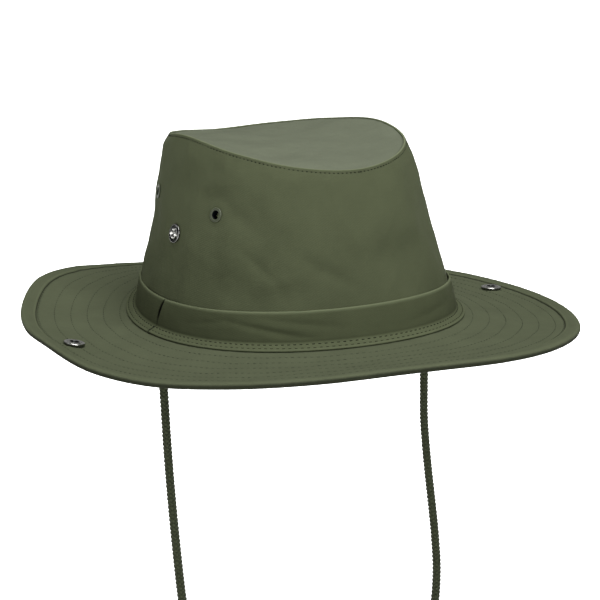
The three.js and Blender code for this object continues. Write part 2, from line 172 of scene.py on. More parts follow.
# The studio, in metres. Each light has a name, a place, an aim, a size and a power
FLOOR_HEIGHT, FLOOR_REACH, SURROUND = -0.42, 9.0, 0.22
LIGHTS = [
    ("overhead", (0.0, -0.3, 1.3), (0, 0, 0), 0.9, 19),
    ("key", (-0.05, -1.6, 0.75), (0, 0, 0.02), 0.8, 14.5),
    ("side_fill", (-1.6, -0.1, 0.2), (0, 0, 0.02), 1.0, 5.5),
]

# The wash of each quarter of the floor: distance outward and height of its place and of its aim
WASH_PLACE, WASH_AIM = (2.4, 1.9), (4.6, -0.2)
WASH_ANGLE, WASH_SIZE, WASH_POWERS = 29.8, 5.0, (330, 120, 120, 120)


def place_camera():
    """Puts the camera back from its aim along azimuth and elevation, then rolls it about its own axis."""
    turn, rise = math.radians(CAMERA_AZIMUTH), math.radians(CAMERA_ELEVATION)
    back = Vector((math.sin(turn) * math.cos(rise), -math.cos(turn) * math.cos(rise), math.sin(rise)))
    level = Vector((0, 0, 1)).cross(back).normalized()
    upright = back.cross(level)
    roll = math.radians(CAMERA_ROLL)
    right = level * math.cos(roll) + upright * math.sin(roll)
    up = upright * math.cos(roll) - level * math.sin(roll)
    camera = bpy.data.objects.new("camera", bpy.data.cameras.new("camera"))
    camera.data.lens = CAMERA_LENS
    camera.data.sensor_width = CAMERA_SENSOR
    camera.matrix_world = Matrix((right, up, back)).transposed().to_4x4()
    camera.location = Vector(CAMERA_AIM) + back * CAMERA_DISTANCE
    bpy.context.scene.collection.objects.link(camera)
    bpy.context.scene.camera = camera


# Curves through tables

def hermite(x, keys, values):
    """A cubic through the table: each stretch starts and ends with the slope between its neighbours."""
    place = np.clip(np.searchsorted(keys, x, side="right") - 1, 1, len(keys) - 3)
    k0, k1, k2, k3 = (keys[place + step] for step in (-1, 0, 1, 2))
    v0, v1, v2, v3 = (values[place + step] for step in (-1, 0, 1, 2))
    span = k2 - k1
    s = (x - k1) / span
    start = (v2 - v0) / (k2 - k0) * span
    end = (v3 - v1) / (k3 - k1) * span
    return ((2 * s ** 3 - 3 * s ** 2 + 1) * v1 + (s ** 3 - 2 * s ** 2 + s) * start
            + (3 * s ** 2 - 2 * s ** 3) * v2 + (s ** 3 - s ** 2) * end)


def round_table(table, degrees):
    """The table's second column at any angle, carried on past a full turn at both ends."""
    keys = np.concatenate([table[-2:, 0] - 360, table[:, 0], table[:3, 0] + 360])
    values = np.concatenate([table[-2:, 1], table[:, 1], table[:3, 1]])
    return hermite(np.mod(degrees, 360.0), keys, values)


def up_table(column, share):
    """One column of the crown's levels at any share of its height, level past its ends."""
    reach = 1e-6
    keys = np.concatenate([[-reach], CROWN_LEVELS[:, 0], [1 + reach]])
    values = np.concatenate([CROWN_LEVELS[:1, column], CROWN_LEVELS[:, column], CROWN_LEVELS[-1:, column]])
    return hermite(np.clip(share, 0, 1), keys, values)


def turn_from(start, degrees):
    """The angle from start to degrees, between -180 and 180."""
    return np.mod(degrees - start + 180.0, 360.0) - 180.0


def ripple_waves(count, shortest, longest, size):
    """Random plane waves: each has a direction, a length, a phase and a height that grows with its length."""
    waves = []
    for _ in range(count):
        heading = rng.normal(size=3)
        length = shortest * (longest / shortest) ** rng.random()
        heading *= TAU / length / np.linalg.norm(heading)
        waves.append((heading, rng.random() * TAU, size * length / longest))
    return waves


def rippled(points, waves):
    """The sum of the waves at each point, in millimetres."""
    total = np.zeros(points.shape[:-1])
    for heading, phase, size in waves:
        total += size * np.sin(points @ heading + phase)
    return total


SOFT_WAVES = ripple_waves(count=14, shortest=16.0, longest=62.0, size=0.32)
FINE_WAVES = ripple_waves(count=16, shortest=5.0, longest=13.0, size=0.035)


# Shapes of the hat

def foot_height(degrees):
    """The line of the band's foot: high at front and back, low at the sides, and a little higher in front."""
    turn = np.radians(degrees)
    return FOOT_SADDLE * np.cos(2 * turn) + FOOT_TILT * np.cos(turn)


def tip_height(degrees):
    """The wavy line where the tip is sewn to the wall: the table of its heights at any angle."""
    return round_table(TIP_EDGE, degrees)


def wall_height(degrees):
    """The wall's height from the foot's line to the tip's."""
    return tip_height(degrees) - foot_height(degrees)


def oval(degrees, half_length, half_width, setback, height):
    """A point of a level oval: the width along X, the length along Y, front at -Y."""
    turn = np.radians(degrees)
    x = half_width * np.sin(turn)
    y = setback - half_length * np.cos(turn)
    return np.stack(np.broadcast_arrays(x, y, height), axis=-1)


def hollow_depth(hollows, degrees, share, power):
    """The sum of soft hollows, each fading out round its middle."""
    depth = 0.0
    for angle, level, half_angle, half_level, deep in hollows:
        across = turn_from(angle, degrees) / half_angle
        away = np.abs((share - level) / half_level) ** power
        depth = depth + deep * np.exp(-across ** 2 - away ** 2)
    return depth


def wall_point(degrees, share, outward=0.0):
    """The crown wall: ovals that shrink with height between the foot's wavy line and the tip's."""
    degrees, share, outward = np.broadcast_arrays(degrees, share, outward)
    grown = outward - hollow_depth(DIMPLES, degrees, share, 1)
    height = foot_height(degrees) * (1 - share) + tip_height(degrees) * share
    half_length, half_width, setback = (up_table(column, share) for column in (1, 2, 3))
    return oval(degrees, half_length + grown, half_width + grown, setback, height)


def brim_plan(degrees, share):
    """The brim seen from above: ovals from the foot of the crown to the edge, a little square."""
    square = 1 + BRIM_CORNER * share * (1 - np.cos(4 * np.radians(degrees))) / 2
    foot_length, foot_width = HEAD_LENGTH - BRIM_INSET, HEAD_WIDTH - BRIM_INSET
    length = (foot_length + (BRIM_LENGTH - foot_length) * share) * square
    width = (foot_width + (BRIM_WIDTH - foot_width) * share) * square
    return oval(degrees, length, width, -BRIM_FORWARD * share, 0.0)


def brim_width(degrees):
    """The brim's width seen from above, from the foot of the crown to the edge."""
    return np.linalg.norm(brim_plan(degrees, 1.0) - brim_plan(degrees, 0.0), axis=-1)


def flange_share(degrees):
    """The share of the brim's width that the band's flange covers."""
    return (FLANGE_WIDTH + BRIM_INSET) / brim_width(degrees)


def brim_top(degrees, share, rise=0.0):
    """The brim's upper face without its rim: it falls away under the flange, then dishes out to the edge,
    where it is a third of the rim's thickness above the table of edge heights."""
    degrees, share, rise = np.broadcast_arrays(degrees, share, rise)
    points = brim_plan(degrees, share)
    foot = foot_height(degrees) - BRIM_FOOT_FALL
    flange = foot_height(degrees) - FLANGE_FALL - GAP
    edge = round_table(BRIM_EDGE, degrees) + RIM_THICKNESS / 3
    under = flange_share(degrees)
    along = np.clip((share - under) / (1 - under), 0, None)
    outer = DISH_FRONT + (DISH_SIDES - DISH_FRONT) * np.sin(np.radians(degrees)) ** 2
    dish = DISH_INNER * along * (1 - along) ** 2 + outer * along ** 2 * (1 - along)
    open_part = flange + (edge - flange) * along - dish - hollow_depth(BRIM_DIPS, degrees, share, 2)
    covered = foot + (flange - foot) * share / under
    points[..., 2] = np.where(share <= under, covered, open_part) + rise
    return points


def spiral_distance(degrees):
    """How far in from the brim's edge the spiral of stitches lies, the angle counted on through its turns."""
    return RIM_WIDTH + SPIRAL_PITCH * (degrees - SPIRAL_START_ANGLE) / 360.0


# Meshes

def object_from(name, vertices, faces, uv=None, marks=None):
    """A mesh object at the origin from millimetre vertices, with smooth faces, UVs and point marks."""
    mesh = bpy.data.meshes.new(name)
    mesh.from_pydata((vertices * MM).tolist(), [], faces.tolist() if isinstance(faces, np.ndarray) else faces)
    mesh.polygons.foreach_set("use_smooth", np.ones(len(mesh.polygons), dtype=bool))
    if uv is not None:
        layer = mesh.uv_layers.new(name="cloth_mm")
        layer.data.foreach_set("uv", uv.astype(np.float32).ravel())
    for key, values in (marks or {}).items():
        attribute = mesh.attributes.new(key, "FLOAT", "POINT")
        attribute.data.foreach_set("value", values.astype(np.float32).ravel())
    mesh.update()
    piece = bpy.data.objects.new(name, mesh)
    bpy.context.scene.collection.objects.link(piece)
    return piece


def quad_numbers(rows, columns, wrap, flip=False, width=None):
    """The corners of every quad of a grid, as point numbers counted row by row.
    A wrapped side comes back to its first line or, where a width is given, runs on into one line more."""
    i = np.arange(rows if wrap[0] else rows - 1)[:, None]
    j = np.arange(columns if wrap[1] else columns - 1)[None, :]
    corners = [(i, j), (i + 1, j), (i + 1, j + 1), (i, j + 1)]
    if width is None:
        numbers = [(a % rows) * columns + b % columns for a, b in corners]
    else:
        numbers = [a * width + b for a, b in corners]
    quads = np.stack(numbers, axis=-1).reshape(-1, 4)
    return quads[:, ::-1] if flip else quads


def grid_object(name, points, uv, wrap=(True, True), marks=None, flip=False):
    """A grid of points made into quads. A wrapped side joins its last line to its first.
    uv has one line more than points on a wrapped side, so that the pattern has no jump there."""
    rows, columns = points.shape[:2]
    faces = quad_numbers(rows, columns, wrap, flip)
    places = quad_numbers(rows, columns, wrap, flip, width=uv.shape[1])
    flat_uv = uv.reshape(-1, 2)[places.reshape(-1)]
    flat_marks = {key: np.broadcast_to(value, (rows, columns)) for key, value in (marks or {}).items()}
    return object_from(name, points.reshape(-1, 3), faces, flat_uv, flat_marks)


def add_caps(piece, rings, smooth=False):
    """Closes a mesh with one face on each ring of point numbers."""
    editor = bmesh.new()
    editor.from_mesh(piece.data)
    editor.verts.ensure_lookup_table()
    for ring in rings:
        face = editor.faces.new([editor.verts[number] for number in ring.tolist()])
        face.smooth = smooth
    editor.to_mesh(piece.data)
    editor.free()


def distance_along(line):
    """The distance from a line's first point to each of its points. Several lines may be stacked."""
    steps = np.linalg.norm(np.diff(line, axis=-2), axis=-1)
    return np.concatenate([np.zeros_like(steps[..., :1]), np.cumsum(steps, axis=-1)], axis=-1)


def turned_object(name, profile, seat, sides=48, lobes=0, lobe_depth=0.0, lobe_zone=(0.0, 1.0)):
    """A profile of (radius, height, polish and painted light) turned round the seat's axis, closed at the
    axis or on itself.
    Lobes press the height up and down, and paint the light bright and dark, in as many rays as they count,
    between two radii."""
    radius, height, polish_and_painted_light = (np.tile(column, (sides, 1)) for column in np.array(profile, dtype=float).T)
    turn = TAU * np.arange(sides)[:, None] / sides
    if lobes:
        middle, half = sum(lobe_zone) / 2, (lobe_zone[1] - lobe_zone[0]) / 2
        inside = np.clip(1 - np.abs(radius - middle) / half, 0, 1) * (height > 0)
        rays = np.cos(lobes * turn)
        height = height + lobe_depth * inside * rays
        polish_and_painted_light = np.clip(polish_and_painted_light + LOBE_PAINTED_LIGHT * inside * rays, 0, 1)
    origin, axes = seat
    placed = np.stack([radius * np.cos(turn), radius * np.sin(turn), height], axis=-1) @ axes + origin
    if profile[0][0] > 0:
        faces = quad_numbers(sides, len(profile), wrap=(True, True))
        return object_from(name, placed.reshape(-1, 3), faces, marks={"polish_and_painted_light": polish_and_painted_light})
    inner = len(profile) - 2
    low, high = sides * inner, sides * inner + 1
    lines = [(k * inner, (k + 1) % sides * inner) for k in range(sides)]
    fans = [(low, after, line) for line, after in lines]
    fans += [(high, line + inner - 1, after + inner - 1) for line, after in lines]
    faces = quad_numbers(sides, inner, wrap=(True, False)).tolist() + fans
    vertices = np.concatenate([placed[:, 1:-1].reshape(-1, 3), placed[0, :1], placed[0, -1:]])
    shine = np.concatenate([polish_and_painted_light[:, 1:-1].ravel(), polish_and_painted_light[0, :1], polish_and_painted_light[0, -1:]])
    return object_from(name, vertices, faces, marks={"polish_and_painted_light": shine})


def seat_on(surface, degrees, share):
    """A point of a surface and its axes as rows: across, along and outward, or up where it lies flat."""
    turn, climb, lying = 0.5, 0.005, 0.8
    across = surface(degrees + turn, share) - surface(degrees - turn, share)
    along = surface(degrees, share + climb) - surface(degrees, share - climb)
    outward = np.cross(across, along)
    outward /= np.linalg.norm(outward)
    across /= np.linalg.norm(across)
    if outward[2] < -lying:
        outward = -outward
    return surface(degrees, share), np.stack([across, np.cross(outward, across), outward])


def drill(piece, seats, diameter):
    """Cuts a round hole through the piece along each seat's axis."""
    reach, sides = 8.0, 40
    turn = TAU * np.arange(sides) / sides
    ring = np.stack([np.cos(turn), np.sin(turn), np.zeros(sides)], axis=-1) * diameter / 2
    vertices, faces = [], []
    for number, (origin, axes) in enumerate(seats):
        base = number * 2 * sides
        vertices += [(ring + (0, 0, end)) @ axes + origin for end in (-reach, reach)]
        faces.append([base + k for k in range(sides)][::-1])
        faces.append([base + sides + k for k in range(sides)])
        for k in range(sides):
            after = (k + 1) % sides
            faces.append([base + k, base + after, base + sides + after, base + sides + k])
    cutter = object_from("drill", np.concatenate(vertices), faces)
    cut = piece.modifiers.new("holes", "BOOLEAN")
    cut.operation = "DIFFERENCE"
    cut.solver = "EXACT"
    cut.object = cutter
    graph = bpy.context.evaluated_depsgraph_get()
    drilled = bpy.data.meshes.new_from_object(piece.evaluated_get(graph))
    piece.modifiers.clear()
    piece.data = drilled
    bpy.data.objects.remove(cutter)


def stitch_row(name, centres, tangents, normals, length, thread):
    """Short threads, each a spindle of three rings and two points: the rings are ovals round the thread's
    line, which is bowed up out of the cloth, and the points dip into it."""
    sides, flatness, dip = 6, 0.75, 0.3
    side = np.cross(normals, tangents)
    side /= np.linalg.norm(side, axis=-1, keepdims=True)
    along = np.array([-0.34, 0.0, 0.34]) * length
    rise = np.array([0.02, 0.16, 0.02]) * thread
    radius = np.array([0.82, 1.0, 0.82]) * thread / 2
    turn = TAU * np.arange(sides) / sides
    upward = rise[:, None] + flatness * radius[:, None] * np.sin(turn)
    sideways = radius[:, None] * np.cos(turn)
    rings = (centres[:, None, None] + tangents[:, None, None] * along[:, None, None]
             + normals[:, None, None] * upward[..., None] + side[:, None, None] * sideways[..., None])
    ends = np.stack([centres + way * tangents * length / 2 - normals * thread * dip for way in (-1, 1)],
                    axis=1)
    vertices = np.concatenate([rings.reshape(len(centres), -1, 3), ends], axis=1)
    quads, tips = [], []
    for k in range(sides):
        after = (k + 1) % sides
        quads += [(low + k, low + after, low + sides + after, low + sides + k) for low in (0, sides)]
        tips += [(3 * sides, after, k), (3 * sides + 1, 2 * sides + k, 2 * sides + after)]
    base = (np.arange(len(centres)) * vertices.shape[1])[:, None, None]
    faces = (base + np.array(quads)).reshape(-1, 4).tolist() + (base + np.array(tips)).reshape(-1, 3).tolist()
    return object_from(name, vertices.reshape(-1, 3), faces)


def stitches_on(name, surface, angles, places, sink, thread, pitch=STITCH_PITCH, face=1.0):
    """Threads along a line on a surface, one every stitch pitch. The line is given as angles and places."""
    places = np.broadcast_to(places, angles.shape)
    run = distance_along(surface(angles, places))
    at = np.arange(pitch / 2, run[-1], pitch)
    angle_at, place_at = np.interp(at, run, angles), np.interp(at, run, places)
    nudge, small = 0.25, 0.002
    behind, ahead = (surface(angle, np.interp(angle, angles, places))
                     for angle in (angle_at - nudge, angle_at + nudge))
    tangents = ahead - behind
    tangents /= np.linalg.norm(tangents, axis=-1, keepdims=True)
    upward = surface(angle_at, place_at + small) - surface(angle_at, place_at - small)
    normals = face * np.cross(tangents, upward)
    normals /= np.linalg.norm(normals, axis=-1, keepdims=True)
    centres = surface(angle_at, place_at) - normals * sink
    return stitch_row(name, centres, tangents, normals, pitch * STITCH_SHARE, thread)


# Materials

def linear(hex_colour, gain=1.0):
    """An sRGB hex colour as linear red, green, blue and alpha, made brighter or darker by the gain."""
    parts = [int(hex_colour[k:k + 2], 16) / 255 for k in (0, 2, 4)]
    return (*[gain * (p / 12.92 if p <= 0.04045 else ((p + 0.055) / 1.055) ** 2.4) for p in parts], 1.0)


def add_node(material, kind, settings=None, links=None):
    """Adds a shader node of a kind, sets its properties and sockets, and links its inputs."""
    tree = material.node_tree
    made = tree.nodes.new("ShaderNode" + kind)
    for key, value in (settings or {}).items():
        if isinstance(key, str) and key not in made.inputs:
            setattr(made, key, value)
        else:
            made.inputs[key].default_value = value
    for key, (source, output) in (links or {}).items():
        tree.links.new(source.outputs[output], made.inputs[key])
    return made


def new_material(name, settings):
    """A material and its shader, whose own sockets take the values that are the same all over."""
    material = bpy.data.materials.new(name)
    material.use_nodes = True
    shader = material.node_tree.nodes["Principled BSDF"]
    for key, value in settings.items():
        shader.inputs[key].default_value = value
    return material, shader


def wire(material, shader, **sockets):
    """Links the shader's sockets from other nodes' outputs. An underscore stands for a space."""
    for key, (source, output) in sockets.items():
        material.node_tree.links.new(source.outputs[output], shader.inputs[key.replace("_", " ")])


# The length at which a wave texture of scale 1 repeats
WAVE_AT_ONE = TAU / 20

# Patterns in millimetres, and their slants. The ribs are twice the real 0.5 mm, since finer ones don't show
TWILL_RIB, TWILL_SLANT = 1.1, math.radians(63)
MOTTLE, GRAIN, SLUB_LENGTH, SLUB_WIDTH = 24.0, 0.9091, 9.0, 0.7692
FUZZ, HAZE, SPECK = 0.3846, 1.1111, 0.6667
YARN, YARN_SLANT = 0.3927, math.radians(24)


def cotton_drill(name, colour, pale, deep):
    """Cotton drill, dyed in the piece: a dry matt twill whose slanting ribs and uneven dye give a soft grain.
    Folded edges are paler, partly worn and partly a painted highlight, and seams, creases and shaded
    undersides are painted darker, from the piece's own marks."""
    material, shader = new_material(name, {"Roughness": 0.95, "Specular IOR Level": 0.06, "IOR": 1.45})
    place = add_node(material, "TexCoord")
    uv = add_node(material, "UVMap", {"uv_map": "cloth_mm"})
    ribs_at = add_node(material, "Mapping", {"Rotation": (0, 0, TWILL_SLANT)}, {"Vector": (uv, "UV")})
    ribs = add_node(material, "TexWave",
                    {"wave_type": "BANDS", "bands_direction": "X", "Scale": WAVE_AT_ONE / TWILL_RIB,
                     "Distortion": 1.2, "Detail": 2.0, "Detail Scale": 2.2, "Detail Roughness": 0.6},
                    {"Vector": (ribs_at, "Vector")})
    mottle = add_node(material, "TexNoise",
                      {"Scale": 1 / (MOTTLE * MM), "Detail": 3.0, "Roughness": 0.55},
                      {"Vector": (place, "Object")})
    grain = add_node(material, "TexNoise", {"Scale": 1 / GRAIN, "Detail": 3.0, "Roughness": 0.7},
                     {"Vector": (uv, "UV")})
    slub_at = add_node(material, "Mapping", {"Scale": (1 / SLUB_LENGTH, 1 / SLUB_WIDTH, 1.0)},
                       {"Vector": (uv, "UV")})
    slubs = add_node(material, "TexNoise", {"Scale": 1.0, "Detail": 1.0}, {"Vector": (slub_at, "Vector")})
    dyed = add_node(material, "ValToRGB", links={"Fac": (mottle, "Fac")})
    for stop, position, gain in zip(dyed.color_ramp.elements, (0.32, 0.68), (0.95, 1.05)):
        stop.position = position
        stop.color = linear(colour, gain)
    grainy = add_node(material, "MapRange",
                      {"From Min": 0.3, "From Max": 0.7, "To Min": 0.95, "To Max": 1.05},
                      {"Value": (grain, "Fac")})
    slubby = add_node(material, "MapRange",
                      {"From Min": 0.35, "From Max": 0.65, "To Min": 0.985, "To Max": 1.015},
                      {"Value": (slubs, "Fac")})
    ribby = add_node(material, "MapRange", {"To Min": 0.965, "To Max": 1.035}, {"Value": (ribs, "Fac")})
    both = add_node(material, "Math", {"operation": "MULTIPLY"}, {0: (grainy, 0), 1: (ribby, 0)})
    woven = add_node(material, "Math", {"operation": "MULTIPLY"}, {0: (both, 0), 1: (slubby, 0)})
    cloth = add_node(material, "VectorMath", {"operation": "SCALE"},
                     {0: (dyed, "Color"), "Scale": (woven, 0)})
    # Wear and painted highlight: folded edges and crests are paler, partly worn and partly painted for the
    # light they catch
    wear_and_highlight = add_node(material, "Attribute", {"attribute_name": "wear_and_highlight"})
    rubbed_and_lit = add_node(material, "Mix", {"data_type": "RGBA", "B": linear(pale)},
                      {"Factor": (wear_and_highlight, "Fac"), "A": (cloth, 0)})
    # Painted shade: this mark darkens the cloth toward the deep colour where shade falls in seams, creases,
    # slits and under edges
    painted_shade = add_node(material, "Attribute", {"attribute_name": "painted_shade"})
    shaded = add_node(material, "Mix", {"data_type": "RGBA", "B": linear(deep)},
                      {"Factor": (painted_shade, "Fac"), "A": (rubbed_and_lit, "Result")})
    height = add_node(material, "Math", {"operation": "MULTIPLY_ADD", 1: 0.8},
                      {0: (grain, "Fac"), 2: (ribs, "Fac")})
    bump = add_node(material, "Bump", {"Strength": 0.4, "Distance": 0.05 * MM}, {"Height": (height, 0)})
    wire(material, shader, Base_Color=(shaded, "Result"), Normal=(bump, "Normal"))
    return material


def sewing_thread(name, colour):
    """Spun polyester thread, darker than the cloth and as matt, with a fine uneven twist."""
    material, shader = new_material(name, {"Roughness": 0.9, "Specular IOR Level": 0.05})
    place = add_node(material, "TexCoord")
    fuzz = add_node(material, "TexNoise", {"Scale": 1 / (FUZZ * MM), "Detail": 1.0},
                    {"Vector": (place, "Object")})
    tint = add_node(material, "ValToRGB", links={"Fac": (fuzz, "Fac")})
    for stop, gain in zip(tint.color_ramp.elements, (0.8, 1.2)):
        stop.color = linear(colour, gain)
    wire(material, shader, Base_Color=(tint, "Color"))
    return material


def nickel_plate(name):
    """Nickel-plated pressed brass, mirror-like, its colour painted bright on the crests as highlights and
    near black in the recesses as shade.
    """
    material, shader = new_material(name, {"Metallic": 1.0})
    place = add_node(material, "TexCoord")
    haze = add_node(material, "TexNoise", {"Scale": 1 / (HAZE * MM), "Detail": 3.0},
                    {"Vector": (place, "Object")})
    dull = add_node(material, "MapRange",
                    {"From Min": 0.35, "From Max": 0.7, "To Min": 0.12, "To Max": 0.3},
                    {"Value": (haze, "Fac")})
    # Painted light: the mark paints the nickel's colour from near black, for shade in the recesses, to
    # bright, for highlights on the crests
    polish_and_painted_light = add_node(material, "Attribute", {"attribute_name": "polish_and_painted_light"})
    tone = add_node(material, "Mix", {"data_type": "RGBA", "A": linear("262827"), "B": linear("dcdcd6")},
                    {"Factor": (polish_and_painted_light, "Fac")})
    bump = add_node(material, "Bump", {"Strength": 0.25, "Distance": 0.05 * MM}, {"Height": (haze, "Fac")})
    wire(material, shader, Base_Color=(tone, "Result"), Roughness=(dull, "Result"), Normal=(bump, "Normal"))
    return material


def enamelled_eyelet(name):
    """Brass eyelet with a baked olive enamel: a satin paint, glossier and painted paler on its crest as a
    highlight, painted near black inside as shade.
    """
    material, shader = new_material(name, {"IOR": 1.5})
    place = add_node(material, "TexCoord")
    speck = add_node(material, "TexNoise", {"Scale": 1 / (SPECK * MM), "Detail": 2.0},
                     {"Vector": (place, "Object")})
    polish_and_painted_light = add_node(material, "Attribute", {"attribute_name": "polish_and_painted_light"})
    # Painted light: the enamel's olive on the crest, painted darker down the sides and near black inside the
    # bore for its shade
    tone = add_node(material, "Mix", {"data_type": "RGBA", "A": linear("0b0d10"), "B": linear("4b513c")},
                    {"Factor": (polish_and_painted_light, "Fac")})
    gloss = add_node(material, "MapRange", {"To Min": 0.95, "To Max": 0.34}, {"Value": (polish_and_painted_light, "Fac")})
    shine = add_node(material, "MapRange", {"To Min": 0.0, "To Max": 0.5}, {"Value": (polish_and_painted_light, "Fac")})
    bump = add_node(material, "Bump", {"Strength": 0.2, "Distance": 0.04 * MM}, {"Height": (speck, "Fac")})
    wire(material, shader, Base_Color=(tone, "Result"), Roughness=(gloss, "Result"),
         Specular_IOR_Level=(shine, "Result"), Normal=(bump, "Normal"))
    return material


def braided_cotton(name, colour, deep):
    """Braided cotton cord: soft round strands with a fine lay of yarns, with painted shade where one dives
    under.
    """
    material, shader = new_material(name, {"Roughness": 0.85, "Sheen Weight": 0.15, "Sheen Roughness": 0.4,
                                           "Specular IOR Level": 0.25})
    uv = add_node(material, "UVMap", {"uv_map": "cloth_mm"})
    yarn_at = add_node(material, "Mapping", {"Rotation": (0, 0, YARN_SLANT)}, {"Vector": (uv, "UV")})
    yarns = add_node(material, "TexWave",
                     {"Scale": WAVE_AT_ONE / YARN, "Distortion": 1.5, "Detail": 2.0},
                     {"Vector": (yarn_at, "Vector")})
    tint = add_node(material, "ValToRGB", links={"Fac": (yarns, "Fac")})
    for stop, gain in zip(tint.color_ramp.elements, (0.78, 1.18)):
        stop.color = linear(colour, gain)
    # Painted shade: darker toward the deep colour where a strand dives under the others
    under = add_node(material, "Attribute", {"attribute_name": "under"})
    shaded = add_node(material, "Mix", {"data_type": "RGBA", "B": linear(deep)},
                      {"Factor": (under, "Fac"), "A": (tint, "Color")})
    bump = add_node(material, "Bump", {"Strength": 0.5, "Distance": 0.1 * MM}, {"Height": (yarns, "Fac")})
    wire(material, shader, Base_Color=(shaded, "Result"), Normal=(bump, "Normal"))
    return material


# The tip, band and brim are one drill toned for the light each gets: the tip painted lighter where light
# falls from above, the band painted darker for its shade, the brim between
TIP_CLOTH_PAINTED_LIGHTER = cotton_drill("cotton_drill_tip_painted_lighter", "606555", "7f866c", "20251b")
DRILL_CLOTH = cotton_drill("cotton_drill", "474c38", "7a8167", "0a0c08")
BAND_CLOTH_PAINTED_DARKER = cotton_drill("cotton_drill_band_painted_darker", "444935", "6e755b", "0a0c08")
BRIM_CLOTH_TONED_FOR_LIGHT = cotton_drill("cotton_drill_stitched_toned_for_light", "4e5340", "6c7358", "0a0c08")
# The seam and flange thread is a dark thread made near black, painted darker for the shade in the pockets
# round each stitch
THREAD_DARK = sewing_thread("spun_polyester_thread_dark", "0b0d08")
THREAD_OLIVE = sewing_thread("spun_polyester_thread", "363b2e")
NICKEL = nickel_plate("nickel_plated_brass")
ENAMEL = enamelled_eyelet("enamelled_eyelet")
CORD_BRAID = braided_cotton("braided_cotton_cord", "3b412b", "0e110b")


def dress(piece, material, node=None):
    """Gives a piece its material, its body and the node that it stands for."""
    piece.data.materials.clear()
    piece.data.materials.append(material)
    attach(piece, "root")
    if node:
        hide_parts(node)


# Chin cord

def cord_line(step):
    """Points at even steps along a smooth curve through the cord's route, with their directions."""
    keys = distance_along(CORD_ROUTE)
    ends = np.concatenate([[-keys[1]], keys, [keys[-1] + keys[1]]])
    before, after = 2 * CORD_ROUTE[0] - CORD_ROUTE[1], 2 * CORD_ROUTE[-1] - CORD_ROUTE[-2]
    route = np.concatenate([[before], CORD_ROUTE, [after]])
    fine = np.linspace(0, keys[-1], 6000)
    dense = np.stack([hermite(fine, ends, route[:, axis]) for axis in range(3)], axis=-1)
    run = distance_along(dense)
    at = np.linspace(0, run[-1], int(run[-1] / step) + 1)
    line = np.stack([np.interp(at, run, dense[:, axis]) for axis in range(3)], axis=-1)
    heading = np.gradient(line, axis=0)
    heading /= np.linalg.norm(heading, axis=-1, keepdims=True)
    return at, line, heading


def make_cord():
    """Eight strands, four each way round: each is an oval tube whose line winds round the cord's and sways in
    and out, over and under the others at every crossing."""
    at, line, heading = cord_line(BRAID_STEP)
    facing = math.radians(BRAID_FACE)
    across = np.cross(heading, (math.sin(facing), -math.cos(facing), 0.0))
    across /= np.linalg.norm(across, axis=-1, keepdims=True)
    beside = np.cross(heading, across)
    sides, count = 6, len(at)
    turn = TAU * np.arange(sides) / sides
    tube = quad_numbers(count, sides, wrap=(False, True), flip=True)
    girth = np.arange(sides + 1) * STRAND_GIRTH / sides
    pattern = np.stack(np.broadcast_arrays(at[:, None], girth), axis=-1).reshape(-1, 2)
    places = quad_numbers(count, sides, wrap=(False, True), flip=True, width=sides + 1)
    uv = np.concatenate([pattern[places.reshape(-1)], np.zeros((2 * sides, 2))])
    vertices, faces, under = [], [], []
    for way in (1, -1):
        for number in range(BRAID_STRANDS):
            angle = way * TAU * at / BRAID_PITCH + TAU * number / BRAID_STRANDS
            over = way * np.cos(TAU * BRAID_STRANDS * at / BRAID_PITCH)
            outward = across * np.cos(angle)[:, None] + beside * np.sin(angle)[:, None]
            centre = line + outward * (CORD_DIAMETER / 2 - STRAND_DEEP + STRAND_SWAY * over)[:, None]
            along = np.gradient(centre, axis=0)
            flat = np.cross(along, outward)
            flat /= np.linalg.norm(flat, axis=-1, keepdims=True)
            ring = (centre[:, None] + flat[:, None] * (STRAND_WIDE * np.cos(turn))[:, None]
                    + outward[:, None] * (STRAND_DEEP * np.sin(turn))[:, None])
            base = len(vertices) * count * sides
            faces += (base + tube).tolist()
            faces.append([base + k for k in range(sides)])
            faces.append([base + (count - 1) * sides + k for k in range(sides)][::-1])
            vertices.append(ring.reshape(-1, 3))
            # Painted shade: each strand is painted darker where it dives under the crossing ones
            under.append(np.repeat(0.5 - 0.5 * over, sides))
    piece = object_from("chin_cord_braid", np.concatenate(vertices), faces, np.tile(uv, (len(vertices), 1)),
                        {"under": np.concatenate(under)})
    dress(piece, CORD_BRAID, "chin_cord")
    path_at, path, _ = cord_line(PATH_STEP)


# Crown

def tip_point(degrees, share):
    """The tip panel: it rises from the middle to the wavy seam, with a soft puff just inside its sunken edge.
    """
    degrees, share = np.broadcast_arrays(degrees, share)
    _, half_length, half_width, setback = CROWN_LEVELS[-1]
    edge = tip_height(degrees) - TIP_DITCH
    puff = TIP_PUFF * np.exp(-((share - TIP_PUFF_SHARE) / TIP_PUFF_HALF) ** 2)
    height = TIP_CENTRE + (edge - TIP_CENTRE) * share ** 2 + puff
    pull = CLOTH - TIP_OVERLAP + hollow_depth(DIMPLES, degrees, 1.0, 1)
    return oval(degrees, (half_length - pull) * share, (half_width - pull) * share, setback, height)


